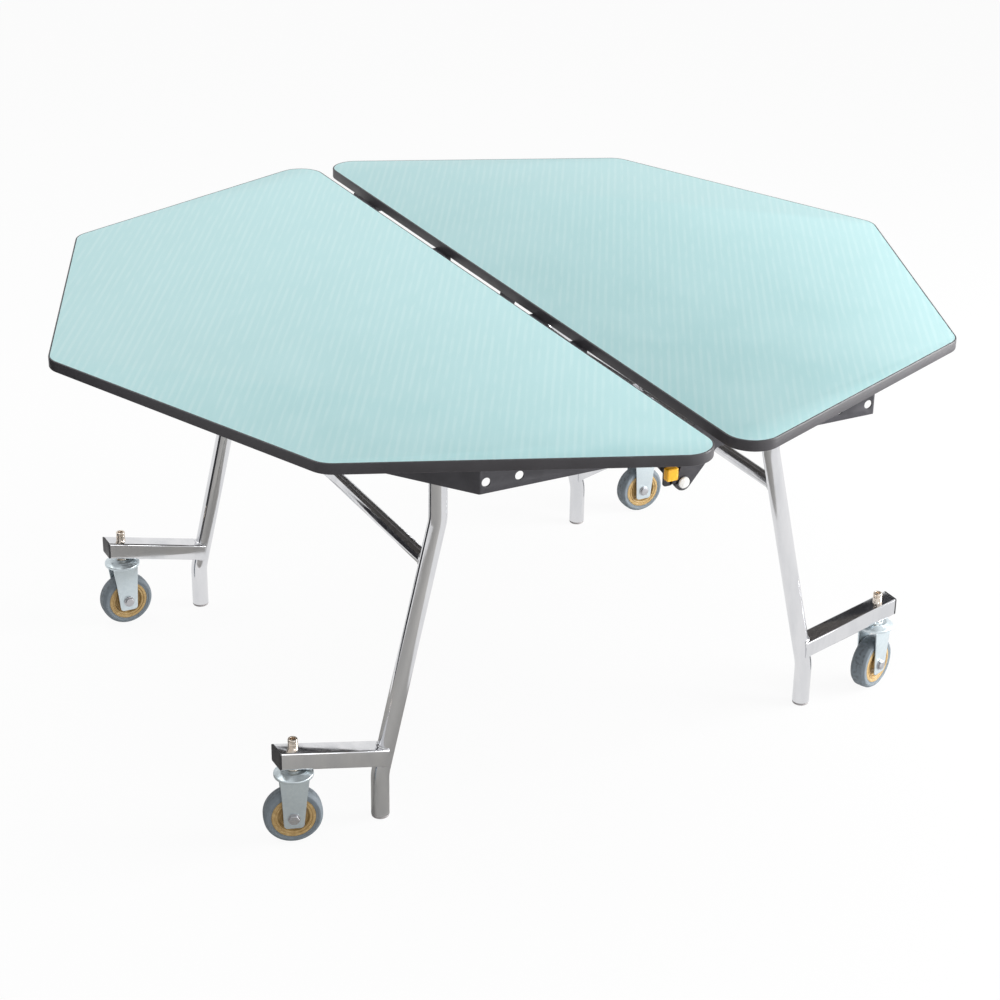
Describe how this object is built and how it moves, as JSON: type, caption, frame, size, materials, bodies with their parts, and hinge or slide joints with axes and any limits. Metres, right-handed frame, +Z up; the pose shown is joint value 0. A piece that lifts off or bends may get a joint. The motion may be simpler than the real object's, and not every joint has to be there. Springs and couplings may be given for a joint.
{
  "type": "mobile folding table",
  "caption": "Octagonal folding cafeteria table in two hinged halves on chrome leg frames with swivel casters, a release latch and links that keep the legs upright.",
  "frame": {"origin": "on the floor, under the middle of the hinge rod", "axes": "+Z up; Y along the hinge rod with -Y at the latch end; +X towards the right half"},
  "size_m": [1.6704, 1.6006, 0.76],
  "materials": {
    "laminate": "satin aqua laminate on board",
    "band": "matte charcoal",
    "sheet": "satin charcoal powder coat",
    "chrome": "bright",
    "stem": "bright, slightly yellow plating",
    "zinc": "bluish zinc plate",
    "steel": "zinc plated",
    "plug": "matte black",
    "glide": "matte grey",
    "tyre": "matte grey rubber",
    "hub": "satin ochre",
    "lever": "satin black",
    "grip": "gloss yellow"
  },
  "bodies": {
    "left_leg_frame": {"left_front_leg": "chrome", "left_front_foot_glide": "glide", "left_front_caster_arm": "chrome", "left_front_arm_plug": "plug", "left_front_caster_stem": "stem", "left_rear_leg": "chrome", "left_rear_foot_glide": "glide", "left_rear_caster_arm": "chrome", "left_rear_arm_plug": "plug", "left_rear_caster_stem": "stem", "left_crossbar": "chrome", "left_pivot_shaft": "steel"},
    "left_top": {"left_top_panel": "laminate", "left_edge_band": "band", "left_centre_rail": "sheet", "left_front_apron": "sheet", "left_front_leg_bracket": "sheet", "left_rear_apron": "sheet", "left_rear_leg_bracket": "sheet", "centre_hinge_rod": "steel"},
    "right_leg_frame": {"right_front_leg": "chrome", "right_front_foot_glide": "glide", "right_front_caster_arm": "chrome", "right_front_arm_plug": "plug", "right_front_caster_stem": "stem", "right_rear_leg": "chrome", "right_rear_foot_glide": "glide", "right_rear_caster_arm": "chrome", "right_rear_arm_plug": "plug", "right_rear_caster_stem": "stem", "right_crossbar": "chrome", "right_pivot_shaft": "steel"},
    "right_top": {"right_top_panel": "laminate", "right_edge_band": "band", "right_centre_rail": "sheet", "right_front_apron": "sheet", "right_front_leg_bracket": "sheet", "right_rear_apron": "sheet", "right_rear_leg_bracket": "sheet"},
    "centre_hanger": {"centre_hanger": "steel"},
    "left_sync_link": {"left_sync_link": "steel"},
    "right_sync_link": {"right_sync_link": "steel"},
    "latch": {"latch_lever": "lever", "latch_grip": "grip"},
    "left_front_fork": {"left_front_caster_fork": "zinc", "left_front_caster_axle": "steel"},
    "left_front_wheel": {"left_front_wheel_hub": "hub", "left_front_wheel_tyre": "tyre"},
    "left_rear_fork": {"left_rear_caster_fork": "zinc", "left_rear_caster_axle": "steel"},
    "left_rear_wheel": {"left_rear_wheel_hub": "hub", "left_rear_wheel_tyre": "tyre"},
    "right_front_fork": {"right_front_caster_fork": "zinc", "right_front_caster_axle": "steel"},
    "right_front_wheel": {"right_front_wheel_hub": "hub", "right_front_wheel_tyre": "tyre"},
    "right_rear_fork": {"right_rear_caster_fork": "zinc", "right_rear_caster_axle": "steel"},
    "right_rear_wheel": {"right_rear_wheel_hub": "hub", "right_rear_wheel_tyre": "tyre"}
  },
  "joints": [
    {"name": "fold", "type": "hinge", "parent": "left_leg_frame", "child": "left_top", "pos_m": [-0.327, 0, 0.672], "axis": [0, -1, 0], "range_deg": [0, 88]},
    {"name": "centre_fold", "type": "hinge", "parent": "left_top", "child": "right_top", "pos_m": [0, 0, 0.642], "axis": [0, 1, 0], "range_deg": [0, 176]},
    {"name": "right_leg_fold", "type": "hinge", "parent": "right_top", "child": "right_leg_frame", "pos_m": [0.327, 0, 0.672], "axis": [0, -1, 0], "range_deg": [0, 88]},
    {"name": "hanger_swing", "type": "hinge", "parent": "left_top", "child": "centre_hanger", "pos_m": [0, 0, 0.642], "axis": [0, 1, 0], "range_deg": [0, 88]},
    {"name": "left_link_swing", "type": "hinge", "parent": "centre_hanger", "child": "left_sync_link", "pos_m": [0, 0, 0.47], "axis": [0, -1, 0], "range_deg": [0, 88]},
    {"name": "right_link_swing", "type": "hinge", "parent": "centre_hanger", "child": "right_sync_link", "pos_m": [0, 0, 0.47], "axis": [0, 1, 0], "range_deg": [0, 88]},
    {"name": "latch_release", "type": "hinge", "parent": "left_top", "child": "latch", "pos_m": [-0.032, -0.664, 0.7], "axis": [0, 1, 0], "range_deg": [-8, 14], "stiffness_Nm_per_rad": 0.3},
    {"name": "left_front_swivel", "type": "hinge", "parent": "left_leg_frame", "child": "left_front_fork", "pos_m": [-0.595, -0.432, 0.13], "axis": [0, 0, 1], "continuous": true},
    {"name": "left_front_roll", "type": "hinge", "parent": "left_front_fork", "child": "left_front_wheel", "pos_m": [-0.59787, -0.43112, 0.051], "axis": [-0.2924, -0.9563, 0], "continuous": true},
    {"name": "left_rear_swivel", "type": "hinge", "parent": "left_leg_frame", "child": "left_rear_fork", "pos_m": [-0.595, 0.432, 0.13], "axis": [0, 0, 1], "continuous": true},
    {"name": "left_rear_roll", "type": "hinge", "parent": "left_rear_fork", "child": "left_rear_wheel", "pos_m": [-0.592, 0.432, 0.051], "axis": [0, 1, 0], "continuous": true},
    {"name": "right_front_swivel", "type": "hinge", "parent": "right_leg_frame", "child": "right_front_fork", "pos_m": [0.595, -0.432, 0.13], "axis": [0, 0, 1], "continuous": true},
    {"name": "right_front_roll", "type": "hinge", "parent": "right_front_fork", "child": "right_front_wheel", "pos_m": [0.59222, -0.43312, 0.051], "axis": [-0.3746, 0.9272, 0], "continuous": true},
    {"name": "right_rear_swivel", "type": "hinge", "parent": "right_leg_frame", "child": "right_rear_fork", "pos_m": [0.595, 0.432, 0.13], "axis": [0, 0, 1], "continuous": true},
    {"name": "right_rear_roll", "type": "hinge", "parent": "right_rear_fork", "child": "right_rear_wheel", "pos_m": [0.592, 0.432, 0.051], "axis": [0, 1, 0], "continuous": true}
  ],
  "couplings": [
    {"joint": "centre_fold", "follows": "fold", "ratio": 2},
    {"joint": "right_leg_fold", "follows": "fold", "ratio": 1},
    {"joint": "hanger_swing", "follows": "fold", "ratio": 1},
    {"joint": "left_link_swing", "follows": "fold", "ratio": 1},
    {"joint": "right_link_swing", "follows": "fold", "ratio": 1}
  ]
}
